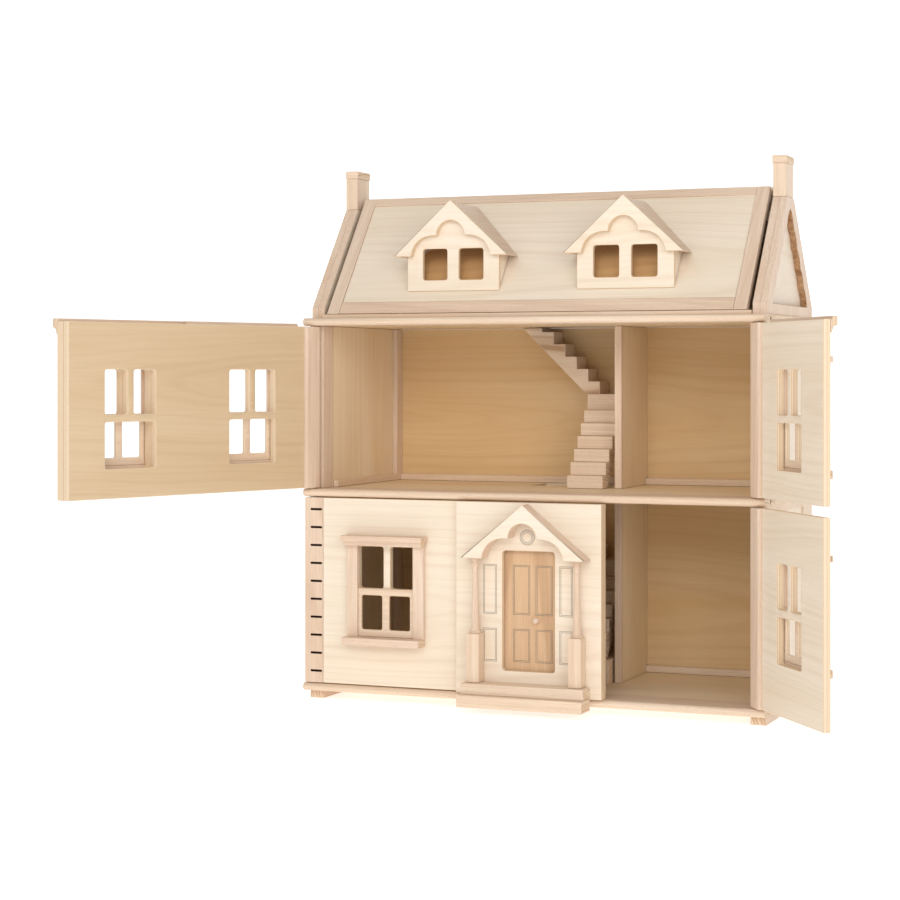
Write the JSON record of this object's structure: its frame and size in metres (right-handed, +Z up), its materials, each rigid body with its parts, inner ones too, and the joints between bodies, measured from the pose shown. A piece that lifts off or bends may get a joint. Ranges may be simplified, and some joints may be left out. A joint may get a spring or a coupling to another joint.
{
  "type": "wooden dollhouse",
  "caption": "Wooden dollhouse with hinged fronts, a lifting front roof with dormers, sliding sash windows, a portico door, inner stairs and an attic.",
  "frame": {"origin": "on the ground under the middle of the whole object's box, with its fronts open as built", "axes": "+X to the house's right seen from its front, +Y from its front to its back, +Z up"},
  "size_m": [0.8918, 0.6592, 0.708],
  "materials": {
    "rubberwood": "sanded pale hardwood with a thin clear lacquer",
    "plywood": "pale birch-faced plywood with a thin clear lacquer",
    "door wood": "honey-coloured plywood with a thin clear lacquer"
  },
  "bodies": {
    "carcass": {"runner_left": "rubberwood", "runner_right": "rubberwood", "base_floor": "rubberwood", "middle_floor": "rubberwood", "attic_floor": "rubberwood", "lower_side_left": "rubberwood", "lower_side_right": "rubberwood", "upper_side_left": "rubberwood", "upper_side_right": "rubberwood", "lower_back": "plywood", "upper_back": "plywood", "lower_skirting": "rubberwood", "upper_skirting": "rubberwood", "lower_divider": "plywood", "upper_divider": "plywood", "lower_stair": "rubberwood", "upper_stair": "rubberwood", "gable_left": "rubberwood", "gable_right": "rubberwood", "chimney_left": "rubberwood", "chimney_right": "rubberwood", "roof_sill": "rubberwood", "ridge_beam": "rubberwood", "roof_back": "plywood"},
    "roof_front": {"roof_front_frame": "rubberwood", "roof_front_ply": "plywood", "dormer_left_body": "plywood", "dormer_left_pediment": "plywood", "dormer_left_roof": "plywood", "dormer_right_body": "plywood", "dormer_right_pediment": "plywood", "dormer_right_roof": "plywood"},
    "lower_left_front": {"lower_left_post": "rubberwood", "lower_left_panel": "plywood", "portico_board": "plywood", "portico_pediment": "plywood", "portico_column_left": "plywood", "portico_column_right": "plywood", "portico_steps": "rubberwood", "lower_left_window_frame": "rubberwood"},
    "front_door": {"front_door": "door wood", "door_knob": "rubberwood"},
    "lower_left_sash": {"lower_left_window_sash": "rubberwood"},
    "upper_left_front": {"upper_left_post": "rubberwood", "upper_left_panel": "plywood", "upper_left_bay": "plywood", "upper_left_cornice": "rubberwood", "upper_left_window_frame": "rubberwood", "bay_window_frame": "rubberwood"},
    "upper_left_sash": {"upper_left_window_sash": "rubberwood"},
    "bay_sash": {"bay_window_sash": "rubberwood"},
    "upper_right_front": {"upper_right_post": "rubberwood", "upper_right_panel": "plywood", "upper_right_window_frame": "rubberwood", "upper_right_cornice": "rubberwood"},
    "upper_right_sash": {"upper_right_window_sash": "rubberwood"},
    "lower_right_front": {"lower_right_post": "rubberwood", "lower_right_panel": "plywood", "lower_right_window_frame": "rubberwood"},
    "lower_right_sash": {"lower_right_window_sash": "rubberwood"}
  },
  "joints": [
    {"name": "lower_left_hinge", "type": "hinge", "parent": "carcass", "child": "lower_left_front", "pos_m": [-0.28021, 0.0515, 0.022], "axis": [0, 0, 1], "range_deg": [-125, 0]},
    {"name": "upper_left_hinge", "type": "hinge", "parent": "carcass", "child": "upper_left_front", "pos_m": [-0.28021, 0.0515, 0.278], "axis": [0, 0, 1], "range_deg": [-15, 110]},
    {"name": "upper_right_hinge", "type": "hinge", "parent": "carcass", "child": "upper_right_front", "pos_m": [0.31879, 0.0515, 0.278], "axis": [0, 0, 1], "range_deg": [-127, 5]},
    {"name": "lower_right_hinge", "type": "hinge", "parent": "carcass", "child": "lower_right_front", "pos_m": [0.31879, 0.0515, 0.022], "axis": [0, 0, 1], "range_deg": [-127, 5]},
    {"name": "roof_hinge", "type": "hinge", "parent": "carcass", "child": "roof_front", "pos_m": [0.01929, 0.18674, 0.67], "axis": [-1, 0, 0], "range_deg": [0, 100]},
    {"name": "door_hinge", "type": "hinge", "parent": "lower_left_front", "child": "front_door", "pos_m": [-0.00751, 0.049, 0.0495], "axis": [0, 0, 1], "range_deg": [0, 90]},
    {"name": "lower_left_sash_slide", "type": "slide", "parent": "lower_left_front", "child": "lower_left_sash", "axis": [0, 0, 1], "range_m": [0, 0.055]},
    {"name": "upper_left_sash_slide", "type": "slide", "parent": "upper_left_front", "child": "upper_left_sash", "axis": [0, 0, 1], "range_m": [0, 0.055]},
    {"name": "bay_sash_slide", "type": "slide", "parent": "upper_left_front", "child": "bay_sash", "axis": [0, 0, 1], "range_m": [0, 0.055]},
    {"name": "upper_right_sash_slide", "type": "slide", "parent": "upper_right_front", "child": "upper_right_sash", "axis": [0, 0, 1], "range_m": [0, 0.055]},
    {"name": "lower_right_sash_slide", "type": "slide", "parent": "lower_right_front", "child": "lower_right_sash", "axis": [0, 0, 1], "range_m": [0, 0.055]}
  ]
}
